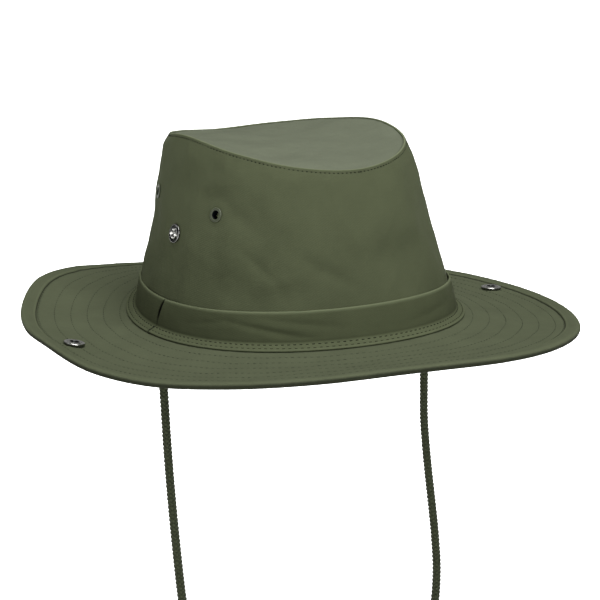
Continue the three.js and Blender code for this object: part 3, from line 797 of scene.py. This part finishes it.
def make_crown_top():
    """A round grid from a small ring at the middle to the seam, and back underneath."""
    turns = 360
    degrees = np.arange(turns)[:, None] * 360.0 / turns
    share = np.concatenate([np.linspace(0.004, 0.9, 60), np.linspace(0.91, 1.0, 24)])[None, :]
    top = tip_point(degrees, share)
    fade = np.clip((1 - share) / 0.1, 0, 1)
    top[..., 2] += rippled(top, SOFT_WAVES) * fade + rippled(top, FINE_WAVES)
    under = top[:, ::-1] - (0, 0, TIP_THICKNESS)
    under[:, 0, 2] += TIP_THICKNESS / 4
    points = np.concatenate([top, under], axis=1)
    uv = np.concatenate([points, points[:1]], axis=0)[..., :2]
    edge = np.concatenate([share, share[:, ::-1]], axis=1)
    # Painted shade: the tip is darkened just inside the seam, under the ridge
    painted_shade = 0.3 * np.clip((edge - 0.985) / 0.012, 0, 1)
    piece = grid_object("crown_top_cloth", points, uv, wrap=(True, False), marks={"painted_shade": painted_shade}, flip=True)
    numbers = np.arange(points.shape[0] * points.shape[1]).reshape(points.shape[:2])
    add_caps(piece, [numbers[:, 0], numbers[::-1, -1]], smooth=True)
    dress(piece, TIP_CLOTH_PAINTED_LIGHTER, "crown_top")


def wall_detail(points, share):
    """Soft ripples and puckers of the wall, still at its seams."""
    fade = np.clip((1 - share) / 0.08, 0, 1) * np.clip(share / 0.15, 0, 1)
    return rippled(points, SOFT_WAVES) * fade + rippled(points, FINE_WAVES)


def calm(points, seats):
    """1 in the open and 0 on the seats, so that the cloth lies flat under the hardware."""
    factor = 1.0
    for origin, _ in seats:
        away = np.linalg.norm(points - origin, axis=-1)
        factor = factor * (1 - np.exp(-(away / CALM_REACH) ** 4))
    return factor


def make_crown_side():
    """The wall: a grid of angles by a closed section that runs up outside, over the ridge and down inside."""
    turns, top_share = 440, 0.992
    degrees = np.arange(turns)[:, None] * 360.0 / turns
    foot = (brim_top(degrees, 0.0)[..., 2] + GAP - foot_height(degrees)) / wall_height(degrees)
    climb = np.concatenate([np.linspace(0, 0.955, 100), np.linspace(0.96, 1, 20)])[None, :]
    outer_share = foot + (top_share - foot) * climb
    drop = (1 - outer_share) * wall_height(degrees)
    seam_tuck = 0.2 * np.exp(-((drop - SEAM_ROW) / 0.4) ** 2)
    eyelet_seats = [seat_on(wall_point, side * angle, level) for side in (-1, 1)
                    for angle, level in EYELETS.values()]
    stud_seats = [seat_on(wall_point, side * CROWN_SNAP[0], CROWN_SNAP[1]) for side in (-1, 1)]
    outer = wall_point(degrees, outer_share, -seam_tuck)
    folds = creases(WALL_CREASES, degrees, outer_share * wall_height(degrees))
    folds *= np.clip((1 - outer_share) / 0.05, 0, 1)
    swell = (wall_detail(outer, outer_share) - folds) * calm(outer, eyelet_seats + stud_seats)
    outer = wall_point(degrees, outer_share, swell - seam_tuck)
    over = np.linspace(0.12, 0.88, 7)[None, :] * math.pi
    ridge = wall_point(degrees, 1.0, (np.cos(over) - 1) * CLOTH / 2)
    ridge[..., 2] += SEAM_RIDGE * np.sin(over)
    inner_share = foot + (top_share - foot) * np.linspace(1, 0, 36)[None, :]
    inner = wall_point(degrees, inner_share, -CLOTH)
    points = np.concatenate([outer, ridge, inner], axis=1)
    run = distance_along(points)
    run = np.concatenate([run, run[:, -1:] + CLOTH], axis=1)
    run = np.concatenate([run, run[:1]], axis=0)
    girth = np.arange(turns + 1)[:, None] * TAU * WALL_RADIUS / turns
    uv = np.stack(np.broadcast_arrays(girth, run), axis=-1)
    # Wear and painted highlight: the ridge's crest is paler, partly worn and partly the light it catches
    ridge_wear_and_highlight = 0.6 * np.clip(4 * over / math.pi - 0.6, 0, 1)
    wear_and_highlight = np.concatenate([np.zeros_like(drop), np.broadcast_to(ridge_wear_and_highlight, ridge.shape[:2]),
                           np.zeros_like(inner_share)], axis=1)
    # Painted shade: darker along the stitch row below the seam and on the inside face near the top
    painted_shade = np.concatenate([0.12 * np.exp(-((drop - SEAM_ROW) / 0.35) ** 2), np.zeros(ridge.shape[:2]),
                            0.25 * np.clip((inner_share - 0.95) / 0.03, 0, 1)], axis=1)
    piece = grid_object("crown_side_cloth", points, uv, marks={"wear_and_highlight": wear_and_highlight, "painted_shade": painted_shade})
    drill(piece, eyelet_seats, EYELET_HOLE)
    dress(piece, DRILL_CLOTH, "crown_side")


def make_crown_stitches():
    """One row of stitches on the wall just below the tip seam."""
    angles = np.linspace(0, 360, 1441)
    share = 1 - SEAM_ROW / wall_height(angles)
    rows = stitches_on("crown_seam_stitches", wall_point, angles, share, sink=0.14, thread=0.5)
    dress(rows, THREAD_DARK)


# Hatband

# Section of the flange, from under its edge to the crease: share of its width, rise, wear and painted
# highlight, painted shade, painted shade of the join line
FLANGE_SECTION = np.array([
    (0.80, 0.12, 0.00, 1.0, 0.0), (0.96, 0.14, 0.00, 1.0, 0.0), (1.0, 0.35, 0.00, 0.7, 0.0),
    (1.012, 0.75, 0.20, 0.1, 0.0), (1.0, 1.15, 0.35, 0.0, 0.9), (0.965, 1.4, 0.30, 0.0, 0.9),
    (0.92, 1.48, 0.13, 0.0, 0.9), (0.87, 1.44, 0.13, 0.0, 0.9), (0.83, 1.38, 0.13, 0.0, 0.9),
    (0.79, 1.42, 0.13, 0.0, 0.9), (0.74, 1.52, 0.13, 0.0, 0.9), (0.66, 1.58, 0.13, 0.0, 0.9),
    (0.58, 1.56, 0.13, 0.0, 0.9), (0.51, 1.50, 0.13, 0.0, 0.9),
])

# Section of the band above the crease, and over its top edge: height, stand off the face, give, wear and
# painted highlight, painted shade
BAND_LOW = [(0.25, 0.05, 0.3, 0, 0.05), (0.6, -0.08, 0.3, 0, 0.15), (1.0, -0.06, 0.3, 0, 0.1),
            (1.6, 0.02, 0.3, 0, 0)]
BAND_TOP = [(14.9, 0, 0.2, 0.2, 0), (15.5, -0.02, 0.2, 0.45, 0), (15.85, -0.18, 0.2, 0.55, 0),
            (16.0, -0.5, 0.2, 0.45, 0), (15.9, -0.95, 0.2, 0.2, 0), (15.4, -BAND_THICKNESS, 0.2, 0, 0)]
BAND_BACK = [(height, -BAND_THICKNESS, 0, 0, 0) for height in (12.0, 8.0, 4.0, 1.6)]

# Rows of stitches on the flange: name, rise, share of its width, sink, thread
FLANGE_ROWS = [("upper", 1.55, 0.5, -0.05, 0.8), ("lower", 1.4, 0.83, -0.02, 0.6)]


def creases(table, degrees, height):
    """Soft straight folds: each has its middle's angle and height, a slope in mm a degree, a half width and a
    depth in mm, and a half length in degrees."""
    fold = 0.0
    for angle, level, slope, half, size, reach in table:
        turned = turn_from(angle, degrees)
        across = (height - level + slope * turned) / half
        fold = fold + size * np.exp(-across ** 2 - (turned / reach) ** 2)
    return fold


def band_point(degrees, height, outward, give):
    """The band on the wall. It slants at its join and stands off where it laps. Where it is tucked it is
    pressed in and a little lower. It takes its drag folds by its give, and fine ripples all over."""
    height = height * (1 - TUCK_DROP * np.clip(degrees - JOIN_MOUTH, 0, 1))
    level = height / BAND_HEIGHT
    slanted = degrees + JOIN_SLANT * (1 - np.clip(level, 0, 1))
    share = height / wall_height(slanted)
    lift = lap_lift(degrees) * (0.25 + 0.75 * np.sin(math.pi * np.clip(level, 0.08, 0.92)))
    pressed = tuck(degrees) + 0.7 * slit_depth(degrees, level) * (give > 0.1)
    folds = give * creases(BAND_CREASES, slanted, height)
    ripple = FINE_SHARE * rippled(wall_point(slanted, share), FINE_WAVES)
    return wall_point(slanted, share, outward + lift - pressed - folds + ripple)


def flange_point(degrees, share, rise):
    """The band's flange on the brim, at a share of its width. Its tucked end is narrower."""
    slanted = degrees + JOIN_SLANT
    reach = share * (1 - TUCK_NARROW * np.clip(degrees - JOIN_MOUTH, 0, 1)) * flange_share(slanted)
    return brim_top(slanted, reach, rise + FLANGE_LIFT * lap_lift(degrees) - tuck(degrees))


def make_hatband():
    """The band: one closed section, from the flange's edge up the face and down the back, carried from the
    lapping end right round to the end tucked beneath it, with more rows near the join."""
    stretches = ((JOIN_ANGLE, 10), (JOIN_ANGLE + 3, 540), (JOIN_MOUTH - 5, 48), (JOIN_MOUTH + 1, 12))
    ends = [start for start, _ in stretches[1:]] + [JOIN_MOUTH + JOIN_LAP]
    degrees = [np.linspace(start, end, count)[:-1] for (start, count), end in zip(stretches, ends)]
    degrees = np.concatenate([*degrees, ends[-1:]])[:, None]
    heights = np.linspace(2.4, 14.2, 22)
    face = [(height, 0.12 * math.sin(math.pi * height / BAND_HEIGHT), 1, 0, 0) for height in heights]
    band = np.array([*BAND_LOW, *face, *BAND_TOP, *BAND_BACK])
    share, rise = FLANGE_SECTION.T[:2, None]
    height, stand, give = band.T[:3, None]
    foot_share = 0.8 * BRIM_INSET / (FLANGE_WIDTH + BRIM_INSET)
    points = np.concatenate([flange_point(degrees, share, rise),
                             band_point(degrees, height, BAND_AIR + BAND_THICKNESS + stand, give),
                             flange_point(degrees, foot_share, 0.25)], axis=1)
    rows, columns = points.shape[:2]
    run = distance_along(points[0])
    run = np.append(run, run[-1] + 3)
    uv = np.stack(np.broadcast_arrays(degrees * TAU * BAND_RADIUS / 360, run), axis=-1)
    wear_and_highlight = np.concatenate([FLANGE_SECTION[:, 2], band[:, 3], [0]])
    level = np.clip(np.arange(len(band)) / (len(BAND_LOW) + len(face) + 2), 0, 1)
    # Painted shade: the slit where the tucked end dives under the lapping one is painted dark, and so is its
    # line across the flange
    slit = np.concatenate([FLANGE_SECTION[:, 4] * np.exp(-((degrees - JOIN_MOUTH + 0.5) / 0.35) ** 2),
                           slit_depth(degrees, level), np.zeros_like(degrees)], axis=1)
    # Painted shade: the tucked end, hidden in the shade under the lap, is painted black
    slit[degrees[:, 0] > JOIN_MOUTH] = 1.0
    painted_shade = np.clip(slit + np.concatenate([FLANGE_SECTION[:, 3], band[:, 4], [0]]), 0, 1)
    # Painted shade: the lapping end's edge at the join is painted fully dark
    painted_shade[0] = 1.0
    piece = grid_object("hatband_cloth", points, uv, wrap=(False, True), marks={"wear_and_highlight": wear_and_highlight, "painted_shade": painted_shade})
    numbers = np.arange(rows * columns).reshape(rows, columns)
    add_caps(piece, [numbers[0], numbers[-1, ::-1]])
    dress(piece, BAND_CLOTH_PAINTED_DARKER, "hatband")


def slit_depth(degrees, level):
    """The slit where the tucked end dives under the lapping one: 1 inside, widest near half height."""
    wide = SLIT_ENDS + SLIT_BULGE * np.sin(math.pi * np.clip(level, 0, 1) ** 1.1) ** 0.8
    return np.clip((degrees - (JOIN_MOUTH - wide)) / 0.18, 0, 1) * (degrees <= JOIN_MOUTH + 2)


def lap_lift(degrees):
    """How far the lapping end stands off: most at the join, easing down over the spread."""
    return JOIN_LIFT * np.clip(1 - (degrees - JOIN_ANGLE) / JOIN_SPREAD, 0, 1) ** 1.5


def tuck(degrees):
    """How far the tucked end is pressed in below the lapping one, easing in before the slit."""
    return TUCK_DEPTH * np.clip((degrees - JOIN_MOUTH + 2) / 3, 0, 1)


def flange_surface(rise):
    """The flange's face at a rise above the brim, as a surface of angle and share of its width."""
    def surface(degrees, share):
        """A point of the flange's face, lifted where the end laps."""
        within = np.clip(degrees, *FLANGE_STITCH_SPAN)
        lift = FLANGE_LIFT * lap_lift(within - JOIN_SLANT)
        return brim_top(degrees, share * flange_share(degrees), rise + lift)
    return surface


def make_band_stitches():
    """Two rows of stitches along the flange: one in the crease, one near its edge."""
    angles = np.linspace(*FLANGE_STITCH_SPAN, 1441)
    for row, rise, share, sink, thread in FLANGE_ROWS:
        threads = stitches_on(f"flange_stitches_{row}", flange_surface(rise), angles, share, sink, thread,
                              FLANGE_STITCH_PITCH)
        dress(threads, THREAD_DARK)


# Brim: rise of the rim's upper and lower faces by distance in from the edge
RIM_UPPER = np.array([
    (0.0, -1.35), (0.12, -0.85), (0.5, -0.25), (1.3, 0.3), (2.6, 0.62), (4.4, 0.75), (6.4, 0.7), (7.7, 0.6),
    (8.2, 0.48), (8.45, 0.1), (8.6, -0.32), (8.9, -0.36), (9.5, -0.12), (10.6, 0.0),
])
RIM_LOWER = np.array([
    (0.0, -1.35), (0.1, -2.2), (0.5, -2.95), (1.4, -3.35), (3.4, -3.5), (5.6, -3.45), (7.6, -3.15),
    (8.4, -2.75), (8.8, -2.3), (9.4, -2.15), (10.4, -2.2),
])
CHANNEL_DEPTH, CHANNEL_HALF = 0.035, 0.9

# Distances in from the edge of the rim's rows: out over the top, and back beneath
RIM_OUT = (10.1, 9.7, 9.4, 9.1, 8.9, 8.75, 8.6, 8.45, 8.3, 8.1, 7.7, 7.0, 6.0, 5.0, 4.0, 3.0, 2.2, 1.5, 0.9,
           0.45, 0.15, 0.03)
RIM_IN = (0.03, 0.2, 0.5, 1.0, 1.8, 3.0, 4.6, 6.2, 7.6, 8.2, 8.5, 8.8, 9.2, 10.0)


def channel(degrees, distance):
    """The valley that the spiral of stitches pulls in: a soft trough along each turn of it."""
    turn_number = (distance - spiral_distance(degrees)) / SPIRAL_PITCH
    nearest = np.abs(turn_number - np.round(turn_number)) * SPIRAL_PITCH
    return np.exp(-(nearest / CHANNEL_HALF) ** 2) * np.clip(distance - RIM_WIDTH - 0.6, 0, 1)


def brim_upper(degrees, distance):
    """The brim's upper face at a distance in from its edge: rim, groove and stitched channels."""
    share = 1 - distance / brim_width(degrees)
    profile = np.interp(distance, RIM_UPPER[:, 0], RIM_UPPER[:, 1])
    return brim_top(degrees, share, profile - CHANNEL_DEPTH * channel(degrees, distance))


def brim_waves(points, degrees, distance):
    """The brim's soft unevenness, gone at the crown and at the stiff edge."""
    fade = np.clip((brim_width(degrees) - distance - 9) / 12, 0, 1) * np.clip((distance - 5) / 24, 0, 1)
    return SOFT_SHARE * rippled(points, SOFT_WAVES) * fade


def brim_lower(degrees, distance):
    """The brim's under face: the same channels seen from below."""
    share = 1 - distance / brim_width(degrees)
    profile = np.interp(distance, RIM_LOWER[:, 0], RIM_LOWER[:, 1])
    return brim_top(degrees, share, profile + CHANNEL_DEPTH * channel(degrees, distance))


def make_brim():
    """The brim: a grid of angles by a closed section, out over the top, round the rim and back beneath."""
    turns = 460
    degrees = np.arange(turns)[:, None] * 360.0 / turns
    quilted = brim_width(degrees) - RIM_REACH
    rim_out, rim_in = (np.broadcast_to(steps, (turns, len(steps))) for steps in (RIM_OUT, RIM_IN))
    upper = np.concatenate([np.linspace(1, 0, 104) * quilted + RIM_REACH, rim_out], axis=1)
    lower = np.concatenate([rim_in, np.linspace(0, 1, 56)[1:] * quilted + RIM_REACH], axis=1)
    top = brim_upper(degrees, upper)
    bottom = brim_lower(degrees, lower)
    top[..., 2] += brim_waves(top, degrees, upper) + FINE_SHARE * rippled(top, FINE_WAVES)
    bottom[..., 2] += brim_waves(bottom, degrees, lower)
    points = np.concatenate([top, bottom], axis=1)
    cosine, sine = math.cos(BRIM_GRAIN), math.sin(BRIM_GRAIN)
    grain = np.array([[cosine, sine], [-sine, cosine]])
    uv = np.pad(points[..., :2] @ grain, ((0, 1), (0, 1), (0, 0)), mode="wrap")
    # Wear and painted highlight: paler on the rim's inner crest and near the edge, partly worn and partly the
    # light they catch
    rubbed_and_lit = 0.2 * np.exp(-((upper - 7.9) / 0.5) ** 2) + 0.08 * np.exp(-((upper - 1.6) / 0.9) ** 2)
    wear_and_highlight = np.concatenate([rubbed_and_lit, np.zeros_like(lower)], axis=1)
    # Painted shade: darker at the foot of the rim's groove, along the stitch channels, at the very edge,
    # under the rim's roll and under its inner step
    above = (np.exp(-((upper - 8.68) / 0.18) ** 2) + 0.03 * channel(degrees, upper)
             + 0.6 * np.exp(-(upper / 0.2) ** 2))
    below = (0.5 * np.exp(-((lower - 8.8) / 0.5) ** 2) + 0.15 * channel(degrees, lower)
             + 0.75 * np.exp(-(lower / 3.0) ** 2))
    painted_shade = np.concatenate([np.clip(above, 0, 1), below], axis=1)
    piece = grid_object("brim_cloth", points, uv, marks={"wear_and_highlight": wear_and_highlight, "painted_shade": painted_shade}, flip=True)
    dress(piece, BRIM_CLOTH_TONED_FOR_LIGHT, "brim")


def waved(face):
    """A face of the brim with its soft unevenness, as a surface of angle and distance in from the edge."""
    def surface(degrees, distance):
        """A point of the face, raised by the brim's waves."""
        points = face(degrees, distance)
        points[..., 2] += brim_waves(points, degrees, distance)
        return points
    return surface


def make_brim_stitches():
    """The spiral of stitches on the brim, above and below, and one row in the rim's groove."""
    spiral_width = float(np.mean(brim_width(np.arange(360)))) - SPIRAL_END - RIM_WIDTH
    last = SPIRAL_START_ANGLE + 360 * spiral_width / SPIRAL_PITCH
    angles = np.arange(SPIRAL_START_ANGLE + SPIRAL_LEAD, last, 0.5)
    spirals = [stitches_on(f"brim_stitches_{side}", waved(face), angles, spiral_distance(angles), sink=0.05,
                           thread=0.42, pitch=BRIM_STITCH_PITCH, face=outward)
               for side, face, outward in (("upper", brim_upper, -1.0), ("lower", brim_lower, 1.0))]
    groove = stitches_on("rim_stitches", waved(brim_upper), np.linspace(0, 360, 1441), GROOVE_ROW, sink=0.1,
                         thread=0.3, face=-1.0)
    for threads in (*spirals, groove):
        dress(threads, THREAD_OLIVE)


# Hardware: profiles of radius, height and polish with painted light, 1 painted bright as a highlight and 0
# dark as shade, from the back disc up to the middle or round the hole
WALL_BACK = -CLOTH - GAP
STUD = [
    (0, WALL_BACK - 1.0, 0.5), (3.8, WALL_BACK - 1.0, 0.5), (4.8, WALL_BACK - 0.9, 0.5),
    (5.2, WALL_BACK - 0.5, 0.5), (5.1, WALL_BACK, 0.3), (1.8, WALL_BACK, 0.2), (1.8, 0.1, 0.2),
    (4.6, 0.06, 0), (5.05, 0.12, 0), (5.3, 0.4, 0.1), (5.3, 0.75, 0.2), (5.15, 0.98, 0.35), (4.85, 1.1, 0.15),
    (4.55, 1.0, 0.05), (4.25, 0.72, 0), (4.0, 0.5, 0), (3.7, 0.44, 0), (3.45, 0.6, 0.05), (3.2, 0.95, 0.25),
    (3.0, 1.35, 0.8), (2.7, 1.62, 1.0), (2.3, 1.72, 0.9), (1.9, 1.66, 0.6), (1.5, 1.45, 0.4), (1.2, 1.2, 0.3),
    (0.8, 1.06, 0.6), (0.4, 1.02, 0.9), (0, 1.0, 0.9),
]
BRIM_BACK = -BRIM_THICKNESS - GAP - SNAP_LIFT
SOCKET = [
    (0, BRIM_BACK - 1.0, 0.5), (4.0, BRIM_BACK - 1.0, 0.5), (5.0, BRIM_BACK - 0.9, 0.6),
    (5.3, BRIM_BACK - 0.5, 0.5), (5.2, BRIM_BACK, 0.2), (1.8, BRIM_BACK, 0.2), (1.8, 0.2, 0.2),
    (5.3, 0.12, 0), (5.7, 0.2, 0.05), (5.9, 0.45, 0.15), (5.9, 1.35, 0.25), (5.75, 1.62, 0.75),
    (5.4, 1.76, 1.0), (4.9, 1.78, 1.0), (4.5, 1.74, 0.95), (4.2, 1.66, 0.8), (3.95, 1.62, 0.7),
    (3.75, 1.66, 0.75), (3.55, 1.78, 0.8), (3.3, 1.92, 0.9), (3.0, 1.98, 0.7), (2.7, 1.94, 0.3),
    (2.4, 1.78, 0), (2.2, 1.5, 0), (2.12, 1.1, 0), (2.1, 0.5, 0), (1.9, 0.36, 0), (1.0, 0.34, 0),
    (0, 0.34, 0),
]
EYELET = [
    (EYELET_BORE, WALL_BACK - 1.5, 0), (EYELET_BORE + 0.25, WALL_BACK - 1.4, 0),
    (EYELET_BORE + 0.7, WALL_BACK - 0.9, 0.5), (3.4, WALL_BACK - 0.7, 0.8), (3.7, WALL_BACK - 0.3, 0.8),
    (3.6, WALL_BACK, 0.5), (2.6, WALL_BACK, 0), (2.6, 0.02, 0), (3.75, 0.0, 0.3), (3.95, 0.12, 0.4),
    (4.0, 0.35, 0.7), (3.85, 0.6, 1.0), (3.5, 0.8, 0.6), (3.1, 0.86, 0.6), (2.7, 0.8, 0.9), (2.4, 0.58, 0.3),
    (2.22, 0.25, 0), (EYELET_BORE, -0.2, 0),
]


def make_hardware():
    """The studs, sockets and eyelets, each turned about the axis of its seat."""
    for side, sign in (("right", -1), ("left", 1)):
        seat = seat_on(wall_point, sign * CROWN_SNAP[0], CROWN_SNAP[1])
        piece = turned_object(f"crown_stud_{side}", STUD, seat, sides=64, lobes=4, lobe_depth=0.3,
                              lobe_zone=(0.6, 3.6))
        dress(piece, NICKEL, f"crown_snap_{side}")
        seat = seat_on(brim_top, sign * BRIM_SNAP[0], BRIM_SNAP[1])
        piece = turned_object(f"brim_socket_{side}", SOCKET, seat, sides=60)
        dress(piece, NICKEL, f"brim_snap_{side}")
        for end, (angle, level) in EYELETS.items():
            seat = seat_on(wall_point, sign * angle, level)
            piece = turned_object(f"vent_eyelet_{side}_{end}", EYELET, seat)
            dress(piece, ENAMEL, f"eyelet_{side}_{end}")


# Studio

def add_light(name, place, aim, size, power):
    """A square soft light at a place, turned to face its aim."""
    light = bpy.data.lights.new(name, "AREA")
    light.size = size
    light.energy = power
    lamp = bpy.data.objects.new(name, light)
    lamp.location = place
    lamp.rotation_euler = (Vector(aim) - Vector(place)).to_track_quat("-Z", "Y").to_euler()
    bpy.context.scene.collection.objects.link(lamp)


def make_studio():
    """A plain pale floor under an even white surround, lights on the hat and washes on the floor."""
    corners = [(x * FLOOR_REACH, y * FLOOR_REACH, FLOOR_HEIGHT)
               for x, y in ((-1, -1), (1, -1), (1, 1), (-1, 1))]
    floor = object_from("floor", np.array(corners) / MM, [[0, 1, 2, 3]])
    pale, _ = new_material("pale_floor", {"Base Color": (0.93, 0.93, 0.93, 1), "Roughness": 0.9,
                                          "Specular IOR Level": 0.1})
    floor.data.materials.append(pale)
    world = bpy.data.worlds.new("surround")
    world.use_nodes = True
    surround = world.node_tree.nodes["Background"].inputs
    surround["Color"].default_value = (1, 1, 1, 1)
    surround["Strength"].default_value = SURROUND
    bpy.context.scene.world = world
    bpy.context.scene.view_settings.view_transform = "Standard"
    for light in LIGHTS:
        add_light(*light)
    for quarter, power in enumerate(WASH_POWERS):
        turn = math.radians(WASH_ANGLE + 90 * quarter)
        outward = Vector((math.sin(turn), math.cos(turn), 0))
        place = outward * WASH_PLACE[0] + Vector((0, 0, WASH_PLACE[1]))
        aim = outward * WASH_AIM[0] + Vector((0, 0, WASH_AIM[1]))
        add_light(f"floor_wash_{quarter}", place, aim, WASH_SIZE, power)


place_camera()
make_cord()
make_crown_top()
make_crown_side()
make_crown_stitches()
make_hatband()
make_band_stitches()
make_brim()
make_brim_stitches()
make_hardware()
make_studio()
